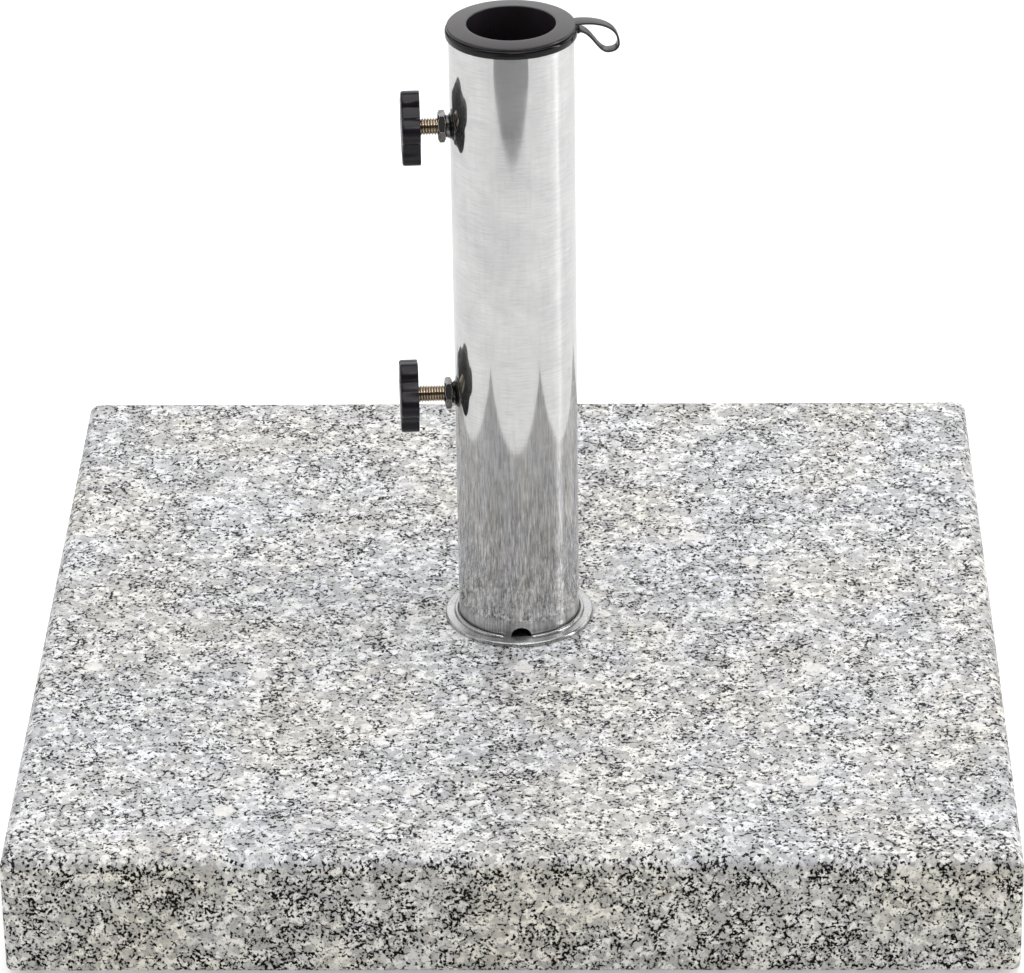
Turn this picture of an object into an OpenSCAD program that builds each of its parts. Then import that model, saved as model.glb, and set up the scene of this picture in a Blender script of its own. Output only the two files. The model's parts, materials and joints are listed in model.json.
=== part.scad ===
// Parasol base: a square stone slab with an upright tube that holds the pole of a garden parasol.
// Millimetres. +Z is up, and the origin is on the ground under the centre of the slab.
// +X is the side of the tether strap, and the clamping screws come in from -X.

/* [Slab] */
// Side of the square slab
slab_side = 450; // [400:10:600]
// Thickness of the slab
slab_t = 58; // [50:1:80]
// Radius of the slab's top edges
slab_top_r = 6; // [3:1:10]
// Radius of the slab's bottom edges
slab_bottom_r = 2; // [1:0.5:3]
// Radius of the slab's four upright corners
slab_corner_r = 4; // [2:1:10]

/* [Feet] */
// Diameter of a rubber foot
foot_d = 30; // [20:1:50]
// Height of a rubber foot
foot_h = 3; // [2:0.5:6]
// Distance from a foot's centre to the slab's two nearest sides
foot_inset = 45; // [30:1:80]

/* [Tube] */
// Outer diameter of the upright tube
tube_d = 57; // [54:0.5:60]
// Wall thickness of the tube
tube_wall = 1.2; // [1:0.1:1.3]
// Length of the tube
tube_length = 297; // [280:1:400]
// Turn of the tube and all it carries against the slab, in degrees
tube_turn = 4; // [-45:1:45]
// Radius of the half-round drain notch in the tube's foot
notch_r = 4.85; // [3:0.05:6]
// Angle of the drain notch from the tube's +X side, in degrees
notch_angle = 269; // [250:1:290]

/* [Flange] */
// Diameter of the round flange under the tube
flange_d = 70.2; // [68:0.1:90]
// Thickness of the flange
flange_t = 2; // [1.5:0.5:4]
// Radius of the round bead that is welded around the tube's foot
bead_r = 0.9; // [0.6:0.1:1.5]
// Open angle of the bead on the clockwise side of the notch, in degrees
bead_gap_before = 16.5; // [12:0.5:30]
// Open angle of the bead on the other side of the notch, in degrees
bead_gap_after = 9.5; // [9.5:0.5:30]

/* [Clamping screws] */
// Height of the upper screw's axis above the slab's top
upper_screw_h = 252.8; // [220:0.2:260]
// Height of the lower screw's axis above the slab's top
lower_screw_h = 117.6; // [80:0.2:140]
// Diameter of the screws' thread
screw_d = 8; // [8:1:8]
// Length of a screw from the knob's back to its tip
screw_length = 20; // [18:0.5:22]
// Radius around the tube's axis at which the upper knob's back stands
upper_knob_back = 42.1; // [41:0.1:46]
// Radius around the tube's axis at which the lower knob's back stands
lower_knob_back = 45.6; // [41:0.1:46]
// Radius around the tube's axis of the upper nut's outer face
upper_nut_face = 34; // [32.5:0.1:34.5]
// Radius around the tube's axis of the lower nut's outer face
lower_nut_face = 33.4; // [32.5:0.1:34.5]
// Width across flats of the weld nuts and of the screws' heads
nut_af = 13; // [13:1:13]
// Thickness of a weld nut's hexagon
nut_t = 3.6; // [3:0.1:4]
// Diameter of the round weld neck between a nut and the tube
nut_neck_d = 10.4; // [9.5:0.1:12]

/* [Knobs] */
// Diameter of a star knob over its lobes
knob_d = 35.4; // [34:0.2:40]
// Thickness of a star knob
knob_t = 8.5; // [8:0.5:12]
// Number of lobes
knob_lobes = 5; // [5:1:8]
// Radius of one lobe
lobe_r = 6.4; // [4:0.1:7]
// Depth of the hollows between the lobes
lobe_depth = 3.4; // [1:0.1:4]
// Angle of the upper knob's highest lobe from straight up, towards the front
upper_lobe_angle = 3; // [-36:1:36]
// Angle of the lower knob's highest lobe from straight up, towards the front
lower_lobe_angle = 15; // [-36:1:36]
// Radius of the rounded edge on a knob's outer face
knob_edge_r = 1.2; // [0.5:0.1:2]

/* [Collar and reducer] */
// Diameter of the collar around the tube's mouth
collar_d = 60; // [59.5:0.5:64]
// Height of the collar outside the tube
collar_h = 3.9; // [3.5:0.1:8]
// Thickness of the collar over the tube's rim
collar_web = 1.4; // [1:0.1:2]
// Depth of the collar's sleeve inside the tube
collar_sleeve_depth = 20; // [10:1:30]
// Diameter of the reducer ring's disc
disc_d = 58.5; // [56:0.5:60]
// Thickness of the reducer ring's disc
disc_t = 1.2; // [1:0.1:3]
// Diameter of the hole for the parasol's pole
pole_hole_d = 40.3; // [30:0.1:41]
// Depth of the reducer ring's sleeves under its disc
reducer_depth = 24; // [15:1:28]

/* [Tether strap] */
// Angle of the strap from the tube's +X side, in degrees
strap_angle = 4; // [-20:1:20]
// Thickness of the strap
strap_t = 0.9; // [0.6:0.1:1.5]
// Width of the strap at its roots
strap_root_w = 7.8; // [5:0.1:10]
// Width of the strap at the far end of its loop
strap_tip_w = 5.2; // [3:0.1:8]
// Reach of the loop beyond the collar
strap_reach = 17.6; // [12:0.1:25]
// Drop of the loop below the disc's top
strap_drop = 13.5; // [9:0.1:18]

/* [Anchor] */
// Diameter of the anchor bolt's thread
anchor_d = 12; // [10:1:12]
// Length of the anchor bolt under its head
anchor_length = 60; // [60:1:62]
// Diameter of the pocket under the slab for the bolt's head
pocket_d = 44; // [40:1:60]
// Depth of the pocket
pocket_depth = 20; // [18:1:22]

/* [Hidden] */
$fn = 96;

slab_top = foot_h + slab_t;
tube_foot = slab_top + flange_t;
tube_rim = tube_foot + tube_length;
tube_r = tube_d / 2;
tube_inner_r = tube_r - tube_wall;
upper_screw_z = slab_top + upper_screw_h;
lower_screw_z = slab_top + lower_screw_h;

// Radial play of a piece that turns or slides in another
play = 0.05;
// Radial play of a hole that a fastener passes freely
free_play = 0.5;
// How far a cutting shape runs past the face that it opens
past = 1;

screw_hole_r = screw_d / 2 + free_play;
screw_head_t = 5;
screw_head_cover = 2;
screw_point_r = 2.5;
screw_point_t = 2;
pad_r = 3.15;
pad_face_t = 0.8;
nut_chamfer = 0.6;

collar_top = tube_rim + collar_web;
collar_shoulder_r = 0.9;
collar_inner_r = tube_inner_r - 1.4;
disc_top = collar_top + disc_t;
disc_edge_r = 0.5;
pole_hole_chamfer = 0.5;
reducer_outer_r = collar_inner_r - play;
sleeve_wall = 1.9;
reducer_ribs = 8;
rib_t = 1.5;

strap_gap = 0.25;
strap_steps = 12;
lug_h = 3.2;
lug_reach = 0.8;

anchor_r = anchor_d / 2;
anchor_af = 18;
anchor_head_t = 7.5;
anchor_nut_t = 10.8;
anchor_washer_d = 37;
anchor_washer_t = 3;
spring_washer_d = 21;
spring_washer_t = 2.5;
spring_washer_gap = 1.5;
thread_chamfer = 1;
pocket_top = foot_h + pocket_depth;
anchor_head_z = pocket_top - anchor_washer_t - spring_washer_t;

// ---------------------------------------------------------------- shared shapes

// A tube that stands on z = 0.
module ring(outer_r, inner_r, height) {
    difference() {
        cylinder(r = outer_r, h = height);
        translate([0, 0, -past]) cylinder(r = inner_r, h = height + 2 * past);
    }
}

// A hexagonal prism, with flats on its +X and -X sides.
module hexagon(across_flats, height) {
    rotate([0, 0, 30]) cylinder(d = across_flats / cos(30), h = height, $fn = 6);
}

// A disc's half section from the axis outwards, with its upper outer edge rounded.
module disc_section(radius, height, edge_r) {
    square([radius - edge_r, height]);
    square([radius, height - edge_r]);
    translate([radius - edge_r, height - edge_r]) circle(r = edge_r);
}

// A square with round corners, centred on the origin.
module rounded_square(side, corner_r) {
    square([side - 2 * corner_r, side], center = true);
    square([side, side - 2 * corner_r], center = true);
    for (x = [-1, 1], y = [-1, 1])
        translate([x, y] * (side / 2 - corner_r)) circle(r = corner_r);
}

// The slab's section across its width, with round top and bottom edges.
module slab_section() {
    translate([-slab_side / 2, slab_bottom_r])
        square([slab_side, slab_t - slab_bottom_r - slab_top_r]);
    translate([-slab_side / 2 + slab_bottom_r, 0])
        square([slab_side - 2 * slab_bottom_r, slab_t / 2]);
    translate([-slab_side / 2 + slab_top_r, slab_t / 2])
        square([slab_side - 2 * slab_top_r, slab_t / 2]);
    for (side = [-1, 1]) {
        translate([side * (slab_side / 2 - slab_bottom_r), slab_bottom_r])
            circle(r = slab_bottom_r);
        translate([side * (slab_side / 2 - slab_top_r), slab_t - slab_top_r])
            circle(r = slab_top_r);
    }
}

// Puts its children on a clamping screw's axis: z = 0 on the tube's axis, +z inwards from the knob.
module on_screw_axis(height) {
    rotate([0, 0, tube_turn]) translate([0, 0, height]) rotate([0, 90, 0]) children();
}

// A plain shank whose far end has a small chamfer, standing on z = 0.
module shank(radius, length, chamfer) {
    cylinder(r = radius, h = length - chamfer);
    translate([0, 0, length - chamfer]) cylinder(r1 = radius, r2 = radius - chamfer, h = chamfer);
}

// ---------------------------------------------------------------- slab, feet and anchor

module granite_slab() {
    color("lightgray") translate([0, 0, foot_h]) difference() {
        intersection() {
            rotate([90, 0, 0]) linear_extrude(height = slab_side, center = true) slab_section();
            rotate([90, 0, 90]) linear_extrude(height = slab_side, center = true) slab_section();
            linear_extrude(height = slab_t) rounded_square(slab_side, slab_corner_r);
        }
        translate([0, 0, -past]) cylinder(r = anchor_r + 2 * free_play, h = slab_t + 2 * past);
        translate([0, 0, -past]) cylinder(d = pocket_d, h = pocket_depth + past);
    }
}

module rubber_feet() {
    reach = slab_side / 2 - foot_inset;
    color("dimgray") for (x = [-reach, reach], y = [-reach, reach])
        translate([x, y, 0]) {
            cylinder(d1 = foot_d - 2, d2 = foot_d, h = 1);
            translate([0, 0, 1]) cylinder(d = foot_d, h = foot_h - 1);
        }
}

module base_flange() {
    bead_centre = tube_r + bead_r;
    bead_start = notch_angle + bead_gap_after;
    color("silver") rotate([0, 0, tube_turn]) translate([0, 0, slab_top]) {
        difference() {
            rotate_extrude() disc_section(flange_d / 2, flange_t, flange_t / 2 - 0.2);
            translate([0, 0, -past]) cylinder(r = anchor_r + free_play, h = flange_t + 2 * past);
        }
        rotate([0, 0, bead_start])
            rotate_extrude(angle = 360 - bead_gap_before - bead_gap_after)
                translate([bead_centre, flange_t - 0.1]) intersection() {
                    circle(r = bead_r, $fn = 48);
                    translate([-bead_r, 0]) square([2 * bead_r, bead_r]);
                }
    }
}

module anchor_bolt() {
    color("gainsboro") translate([0, 0, anchor_head_z - anchor_head_t]) {
        hexagon(anchor_af, anchor_head_t);
        shank(anchor_r, anchor_head_t + anchor_length, thread_chamfer);
    }
}

module anchor_spring_washer() {
    color("gainsboro") translate([0, 0, anchor_head_z]) difference() {
        ring(spring_washer_d / 2, anchor_r + 0.1, spring_washer_t);
        translate([0, -spring_washer_gap / 2, -past])
            cube([spring_washer_d, spring_washer_gap, spring_washer_t + 2 * past]);
    }
}

module anchor_washer() {
    color("gainsboro") translate([0, 0, pocket_top - anchor_washer_t])
        ring(anchor_washer_d / 2, anchor_r + free_play, anchor_washer_t);
}

module anchor_nut() {
    color("silver") rotate([0, 0, tube_turn]) translate([0, 0, tube_foot]) difference() {
        hexagon(anchor_af, anchor_nut_t);
        translate([0, 0, -past]) cylinder(r = anchor_r + play, h = anchor_nut_t + 2 * past);
    }
}

// ---------------------------------------------------------------- tube

module upright_tube() {
    color("silver") rotate([0, 0, tube_turn]) translate([0, 0, tube_foot]) difference() {
        ring(tube_r, tube_inner_r, tube_length);
        for (z = [upper_screw_z, lower_screw_z])
            translate([0, 0, z - tube_foot]) rotate([0, -90, 0])
                cylinder(r = screw_hole_r, h = tube_d);
        rotate([0, 90, notch_angle]) cylinder(r = notch_r, h = tube_d);
    }
}

// ---------------------------------------------------------------- clamping screws

// A hex nut with chamfered corners on a round neck that is welded to the tube's side.
module weld_nut(height, face) {
    corner_r = nut_af / cos(30) / 2;
    color("silver") difference() {
        on_screw_axis(height) {
            translate([0, 0, -face]) intersection() {
                hexagon(nut_af, nut_t);
                union() {
                    cylinder(r1 = corner_r - nut_chamfer, r2 = corner_r + nut_t - nut_chamfer, h = nut_t);
                    translate([0, 0, nut_t / 2]) cylinder(r = corner_r, h = nut_t / 2);
                }
            }
            translate([0, 0, -face]) cylinder(d = nut_neck_d, h = face - tube_inner_r);
        }
        on_screw_axis(height) translate([0, 0, -face - past])
            cylinder(r = screw_d / 2 + play, h = tube_r);
        translate([0, 0, height - nut_af]) cylinder(r = tube_r, h = 2 * nut_af);
    }
}

// A screw with a hexagonal head that is moulded into the knob, and a thin point for the pad.
module screw(knob_back) {
    translate([0, 0, -knob_back - knob_t + screw_head_cover]) hexagon(nut_af, screw_head_t);
    translate([0, 0, -knob_back - knob_t + screw_head_cover])
        cylinder(d = screw_d, h = knob_t - screw_head_cover + screw_length - screw_point_t);
    translate([0, 0, screw_length - knob_back - screw_point_t])
        cylinder(r = screw_point_r, h = screw_point_t);
}

module clamping_screw(height, knob_back) {
    color("tan") on_screw_axis(height) screw(knob_back);
}

// Seen along a screw's axis, where straight up is -x.
module knob_outline(lobe_angle) {
    circle(r = knob_d / 2 - lobe_depth);
    for (i = [0 : knob_lobes - 1])
        rotate(180 + lobe_angle + i * 360 / knob_lobes)
            translate([knob_d / 2 - lobe_r, 0]) circle(r = lobe_r);
}

// A star knob whose outer face has a rounded edge; the screw's head sits in its moulding.
module star_knob(height, knob_back, lobe_angle) {
    color("dimgray") on_screw_axis(height) difference() {
        translate([0, 0, -knob_back]) intersection() {
            translate([0, 0, -knob_t]) linear_extrude(height = knob_t) knob_outline(lobe_angle);
            mirror([0, 0, 1]) rotate_extrude() disc_section(knob_d / 2, knob_t, knob_edge_r);
        }
        screw(knob_back);
    }
}

// A small cup on the screw's point. It presses on the pole and doesn't turn with the screw.
module pressure_pad(height, knob_back) {
    pad_t = screw_point_t + play + pad_face_t;
    color("black") on_screw_axis(height)
        translate([0, 0, screw_length - knob_back - screw_point_t + play]) difference() {
            shank(pad_r, pad_t, 0.4);
            translate([0, 0, -past]) cylinder(r = screw_point_r + play, h = screw_point_t + past);
        }
}

module upper_weld_nut() { weld_nut(upper_screw_z, upper_nut_face); }
module lower_weld_nut() { weld_nut(lower_screw_z, lower_nut_face); }
module upper_screw() { clamping_screw(upper_screw_z, upper_knob_back); }
module lower_screw() { clamping_screw(lower_screw_z, lower_knob_back); }
module upper_knob() { star_knob(upper_screw_z, upper_knob_back, upper_lobe_angle); }
module lower_knob() { star_knob(lower_screw_z, lower_knob_back, lower_lobe_angle); }
module upper_pressure_pad() { pressure_pad(upper_screw_z, upper_knob_back); }
module lower_pressure_pad() { pressure_pad(lower_screw_z, lower_knob_back); }

// ---------------------------------------------------------------- collar, reducer and strap

// A block from the collar's wall outwards, where the strap's lower root is held.
module strap_lug() {
    rotate([0, 0, strap_angle]) translate([collar_d / 2 - 0.5, -strap_root_w / 2, collar_top - lug_h])
        cube([lug_reach + 0.5, strap_root_w, lug_h - 0.4]);
}

module tube_collar() {
    color("dimgray") rotate([0, 0, tube_turn]) {
        difference() {
            union() {
                translate([0, 0, collar_top - collar_h])
                    rotate_extrude() disc_section(collar_d / 2, collar_h, collar_shoulder_r);
                translate([0, 0, tube_rim - collar_sleeve_depth])
                    cylinder(r = tube_inner_r - play, h = collar_sleeve_depth);
            }
            translate([0, 0, tube_foot]) ring(tube_r, tube_inner_r - play, tube_length);
            translate([0, 0, tube_foot]) cylinder(r = collar_inner_r, h = tube_length + 2 * past);
        }
        strap_lug();
    }
}

module reducer_ring() {
    bore_r = pole_hole_d / 2;
    sleeves_z = collar_top - reducer_depth;
    rib_start = bore_r + sleeve_wall - 0.2;
    rib_end = reducer_outer_r - sleeve_wall + 0.2;
    color("dimgray") rotate([0, 0, tube_turn]) {
        difference() {
            union() {
                translate([0, 0, collar_top])
                    rotate_extrude() disc_section(disc_d / 2, disc_t, disc_edge_r);
                translate([0, 0, sleeves_z]) cylinder(r = bore_r + sleeve_wall, h = reducer_depth);
            }
            translate([0, 0, sleeves_z - past])
                cylinder(r = bore_r, h = reducer_depth + disc_t + 2 * past);
            translate([0, 0, disc_top - pole_hole_chamfer])
                cylinder(r1 = bore_r, r2 = bore_r + pole_hole_chamfer + past, h = pole_hole_chamfer + past);
        }
        translate([0, 0, sleeves_z])
            ring(reducer_outer_r, reducer_outer_r - sleeve_wall, reducer_depth);
        for (i = [0 : reducer_ribs - 1])
            rotate([0, 0, (i + 0.5) * 360 / reducer_ribs])
                translate([rib_start, -rib_t / 2, sleeves_z])
                    cube([rib_end - rib_start, rib_t, reducer_depth]);
    }
}

// A point of the cubic curve with the four control points p, its slope and its unit normal there.
function curve_point(p, t) =
    pow(1 - t, 3) * p[0] + 3 * pow(1 - t, 2) * t * p[1] + 3 * (1 - t) * t * t * p[2] + pow(t, 3) * p[3];
function curve_slope(p, t) =
    pow(1 - t, 2) * (p[1] - p[0]) + 2 * (1 - t) * t * (p[2] - p[1]) + t * t * (p[3] - p[2]);
function curve_normal(p, t) =
    let (s = curve_slope(p, t)) [-s[1], s[0]] / norm(s);

// The strap's centre line in its own upright plane: out from the disc, round the loop's far end,
// and back up to the lug. x runs outwards from the tube's axis, y is the height over the disc's top.
strap_start = disc_d / 2 + strap_gap;
strap_end = collar_d / 2 + lug_reach + strap_gap;
strap_far = collar_d / 2 + strap_reach;
strap_curves = [
    [[strap_start, -strap_t / 2], [strap_start + 7, -strap_t / 2],
     [strap_far - 1.6, -0.27 * strap_drop], [strap_far, -0.67 * strap_drop]],
    [[strap_far, -0.67 * strap_drop], [strap_far + 0.7, -0.85 * strap_drop],
     [strap_far - 1.5, -1.02 * strap_drop], [strap_far - 4.7, -strap_drop]],
    [[strap_far - 4.7, -strap_drop], [strap_far - 9.5, -0.97 * strap_drop],
     [strap_end + 5, -disc_t - 0.20 * strap_drop], [strap_end, -disc_t - 0.17 * strap_drop]]
];

function offset_point(p, t, offset) = curve_point(p, t) + offset * curve_normal(p, t);
function strap_side(offset) = concat(
    [for (p = strap_curves, i = [0 : strap_steps - 1]) offset_point(p, i / strap_steps, offset)],
    [offset_point(strap_curves[2], 1, offset)]
);

module tether_strap() {
    outer_side = strap_side(strap_t / 2);
    inner_side = strap_side(-strap_t / 2);
    last = len(inner_side) - 1;
    outline = concat(outer_side, [for (i = [0 : last]) inner_side[last - i]]);
    color("dimgray") rotate([0, 0, tube_turn + strap_angle]) translate([0, 0, disc_top])
        intersection() {
            rotate([90, 0, 0])
                linear_extrude(height = strap_root_w, center = true) polygon(outline);
            translate([0, 0, -2 * strap_drop]) linear_extrude(height = 3 * strap_drop) polygon([
                [0, -strap_root_w / 2], [strap_start, -strap_root_w / 2],
                [strap_far + past, -strap_tip_w / 2], [strap_far + past, strap_tip_w / 2],
                [strap_start, strap_root_w / 2], [0, strap_root_w / 2]
            ]);
        }
}

// ---------------------------------------------------------------- assembly

granite_slab();
rubber_feet();
base_flange();
upright_tube();
anchor_bolt();
anchor_spring_washer();
anchor_washer();
anchor_nut();
upper_weld_nut();
upper_screw();
upper_knob();
upper_pressure_pad();
lower_weld_nut();
lower_screw();
lower_knob();
lower_pressure_pad();
tube_collar();
reducer_ring();
tether_strap();
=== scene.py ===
"""A square granite parasol base with a polished tube: the looks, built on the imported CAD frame."""

import json
import math

import bmesh
import bpy
from mathutils import Matrix, Vector, noise


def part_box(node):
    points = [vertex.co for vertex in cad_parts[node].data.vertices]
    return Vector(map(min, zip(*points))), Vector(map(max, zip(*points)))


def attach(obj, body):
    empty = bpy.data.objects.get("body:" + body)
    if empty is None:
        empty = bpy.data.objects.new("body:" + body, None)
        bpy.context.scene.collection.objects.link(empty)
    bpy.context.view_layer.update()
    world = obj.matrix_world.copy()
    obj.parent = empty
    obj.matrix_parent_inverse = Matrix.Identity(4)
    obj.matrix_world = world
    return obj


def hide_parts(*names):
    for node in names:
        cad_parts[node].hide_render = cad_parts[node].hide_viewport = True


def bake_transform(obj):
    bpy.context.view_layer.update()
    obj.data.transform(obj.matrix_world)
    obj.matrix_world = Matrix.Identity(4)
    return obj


MM = 0.001
UP = Vector((0, 0, 1))

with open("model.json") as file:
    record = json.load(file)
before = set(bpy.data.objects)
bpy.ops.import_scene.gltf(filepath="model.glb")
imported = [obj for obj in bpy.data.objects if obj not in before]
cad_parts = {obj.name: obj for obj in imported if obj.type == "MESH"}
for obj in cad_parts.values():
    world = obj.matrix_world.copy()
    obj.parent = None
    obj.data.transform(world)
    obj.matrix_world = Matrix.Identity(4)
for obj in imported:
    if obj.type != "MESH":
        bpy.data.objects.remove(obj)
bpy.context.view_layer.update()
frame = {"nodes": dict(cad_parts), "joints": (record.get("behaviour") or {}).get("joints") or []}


# ------------------------------ reading the frame


def extent(node, direction):
    """Lowest and highest place of a CAD node along a direction."""
    places = [v.co.dot(direction) for v in frame["nodes"][node].data.vertices]
    return min(places), max(places)


def radius_of(node):
    """Largest distance of a CAD node from the tube's axis."""
    return max(math.hypot(v.co.x, v.co.y) for v in frame["nodes"][node].data.vertices)


JOINTS = {joint["name"]: joint for joint in frame["joints"]}
INWARD = Vector(JOINTS["upper_screw_travel"]["axis"]).normalized()
TUBE_TURN = math.atan2(INWARD.y, INWARD.x)

SLAB_LOW, SLAB_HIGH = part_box("granite_slab")
TUBE_R = radius_of("upright_tube")
TUBE_FOOT, TUBE_RIM = extent("upright_tube", UP)
TUBE_WALL = 1.2 * MM
DISC_TOP = extent("reducer_ring", UP)[1]
DISC_THICKNESS = 1.2 * MM
FLANGE_HOLE_R = 6.5 * MM
POLE_HOLE_R = 20.15 * MM
M8_FLATS, M8_PITCH = 13 * MM, 1.25 * MM
M12_FLATS, M12_PITCH = 18 * MM, 1.75 * MM


# ------------------------------ meshes


def filleted(corners, steps=6):
    """A closed outline through corners (x, y, radius), each rounded by an arc of its own radius."""
    points = []
    count = len(corners)
    for i, (x, y, radius) in enumerate(corners):
        here = Vector((x, y))
        before = Vector(corners[i - 1][:2]) - here
        after = Vector(corners[(i + 1) % count][:2]) - here
        if radius <= 0:
            points.append((x, y))
            continue
        half = before.angle(after) / 2
        reach = radius / math.tan(half)
        start = here + before.normalized() * reach
        end = here + after.normalized() * reach
        centre = here + (before.normalized() + after.normalized()).normalized() * radius / math.sin(half)
        first, last = start - centre, end - centre
        turn = first.angle(last)
        for k in range(steps + 1):
            share = k / steps
            a = math.sin((1 - share) * turn) / math.sin(turn)
            b = math.sin(share * turn) / math.sin(turn)
            points.append(tuple(centre + first * a + last * b))
    return points


def bar(low, high, half_width, low_r=0.0, high_r=0.0, steps=4):
    """Outline of a bar from low to high along x, with its corners rounded at each end."""
    corners = [
        (low, -half_width, low_r),
        (high, -half_width, high_r),
        (high, half_width, high_r),
        (low, half_width, low_r),
    ]
    return filleted(corners, steps)


def lathe(profile, segments):
    """Vertices and faces of a closed outline (r, z) turned about the z axis."""
    count = len(profile)
    vertices = []
    for i in range(segments):
        angle = math.tau * i / segments
        vertices += [(r * math.cos(angle), r * math.sin(angle), z) for r, z in profile]
    faces = []
    for i in range(segments):
        a, b = i * count, (i + 1) % segments * count
        for j in range(count):
            k = (j + 1) % count
            faces.append((a + j, b + j, b + k, a + k))
    return vertices, faces


def loft(loops, capped=True):
    """Vertices and faces of a skin over loops that have the same number of points."""
    count = len(loops[0])
    vertices = [point for loop in loops for point in loop]
    faces = []
    for i in range(len(loops) - 1):
        a, b = i * count, (i + 1) * count
        for j in range(count):
            k = (j + 1) % count
            faces.append((a + j, a + k, b + k, b + j))
    if capped:
        faces.append(tuple(reversed(range(count))))
        faces.append(tuple(range((len(loops) - 1) * count, len(loops) * count)))
    return vertices, faces


def circle(radius, z, count):
    """Points round the z axis at one height."""
    angles = [math.tau * i / count for i in range(count)]
    return [(radius * math.cos(angle), radius * math.sin(angle), z) for angle in angles]


def make_object(name, vertices, faces, material, sharp=35):
    """An object from vertices and faces: doubles merged, faces outwards, smooth below the sharp angle."""
    mesh = bpy.data.meshes.new(name)
    mesh.from_pydata([tuple(v) for v in vertices], [], faces)
    work = bmesh.new()
    work.from_mesh(mesh)
    bmesh.ops.remove_doubles(work, verts=work.verts, dist=1e-7)
    bmesh.ops.dissolve_degenerate(work, edges=work.edges, dist=1e-8)
    bmesh.ops.recalc_face_normals(work, faces=work.faces)
    work.to_mesh(mesh)
    work.free()
    mesh.shade_smooth()
    mesh.set_sharp_from_angle(angle=math.radians(sharp))
    piece = bpy.data.objects.new(name, mesh)
    piece.data.materials.append(material)
    bpy.context.scene.collection.objects.link(piece)
    return piece


def place(piece, body, node, slot, matrix=None):
    """Moves a piece's mesh to its place, and names the body it rides on and the CAD node it replaces."""
    if matrix is not None:
        piece.data.transform(matrix)
    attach(piece, body)
    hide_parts(node)


def joined(*shapes):
    """One list of vertices and faces from several."""
    vertices, faces = [], []
    for more_vertices, more_faces in shapes:
        shift = len(vertices)
        vertices += list(more_vertices)
        faces += [tuple(i + shift for i in face) for face in more_faces]
    return vertices, faces


def cut(piece, cutters):
    """Takes the cutter shapes out of a piece."""
    for i, (vertices, faces) in enumerate(cutters):
        tool = make_object(f"cutter_{i}", vertices, faces, piece.data.materials[0])
        modifier = piece.modifiers.new("cut", "BOOLEAN")
        modifier.operation = "DIFFERENCE"
        modifier.solver = "EXACT"
        modifier.object = tool
        graph = bpy.context.evaluated_depsgraph_get()
        result = bpy.data.meshes.new_from_object(piece.evaluated_get(graph))
        piece.modifiers.clear()
        piece.data = result
        bpy.data.objects.remove(tool)
    piece.data.name = piece.name


def moved(shape, matrix):
    """The same vertices and faces in another place."""
    vertices, faces = shape
    return [tuple(matrix @ Vector(v)) for v in vertices], faces


# ------------------------------ material nodes


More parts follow.
